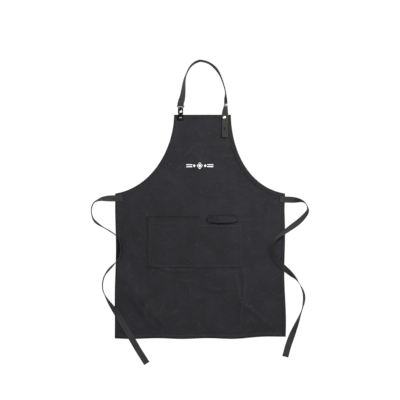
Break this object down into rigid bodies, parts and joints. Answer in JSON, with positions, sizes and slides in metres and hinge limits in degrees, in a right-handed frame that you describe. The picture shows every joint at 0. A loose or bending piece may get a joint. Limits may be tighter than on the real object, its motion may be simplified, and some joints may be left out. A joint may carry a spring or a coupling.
{
  "type": "bib apron",
  "caption": "Waxed canvas bib apron with a webbing neck strap on a swivel snap hook and a studded leather adjuster, side ties, a divided patch pocket and a towel loop.",
  "frame": {"origin": "centre of the footprint of the apron and its neck loop, on the back of the canvas, as it lies flat with its front up", "axes": "+Z out of the front, +Y from the hem to the bib and neck loop, +X to the right as the front is looked at"},
  "size_m": [0.8708, 1.2193, 0.0273],
  "materials": {
    "canvas": "waxed cotton canvas, matt with a faint sheen",
    "webbing": "cotton twill webbing",
    "tie_tape": "cotton herringbone tape",
    "leather": "oiled bridle leather",
    "nickel": "polished nickel plate",
    "black_nickel": "black nickel plate",
    "brass": "polished brass",
    "copper": "copper",
    "thread": "sewing thread"
  },
  "bodies": {
    "root": {"canvas_body": "canvas", "pocket_panel": "canvas", "towel_loop": "canvas", "left_tie": "tie_tape", "right_tie": "tie_tape", "left_bartack": "thread", "right_bartack": "thread", "hook_tab": "leather", "tab_rivet": "black_nickel", "tab_burr": "black_nickel", "adjuster_lower": "leather", "adjuster_stud": "brass", "stud_screw": "brass"},
    "neck_loop": {"neck_webbing": "webbing", "swivel_eye": "nickel", "adjuster_upper": "leather", "copper_rivet": "copper", "copper_burr": "copper"},
    "claw": {"snap_claw": "black_nickel", "gate_pin": "nickel", "gate_spring": "nickel"},
    "gate": {"snap_gate": "black_nickel"}
  },
  "joints": [
    {"name": "neck_strap_fold", "type": "hinge", "parent": "root", "child": "neck_loop", "pos_m": [0, 0.3452, 0.0067], "axis": [1, 0, 0], "range_deg": [-90, 115]},
    {"name": "clasp_swivel", "type": "hinge", "parent": "neck_loop", "child": "claw", "pos_m": [-0.078, 0.3652, 0.0067], "axis": [0, 1, 0], "range_deg": [-8, 8]},
    {"name": "clasp_gate", "type": "hinge", "parent": "claw", "child": "gate", "pos_m": [-0.0702, 0.3574, 0.0067], "axis": [0, 0, -1], "range_deg": [0, 25], "stiffness_Nm_per_rad": 0.002, "springref_deg": -11.46}
  ]
}
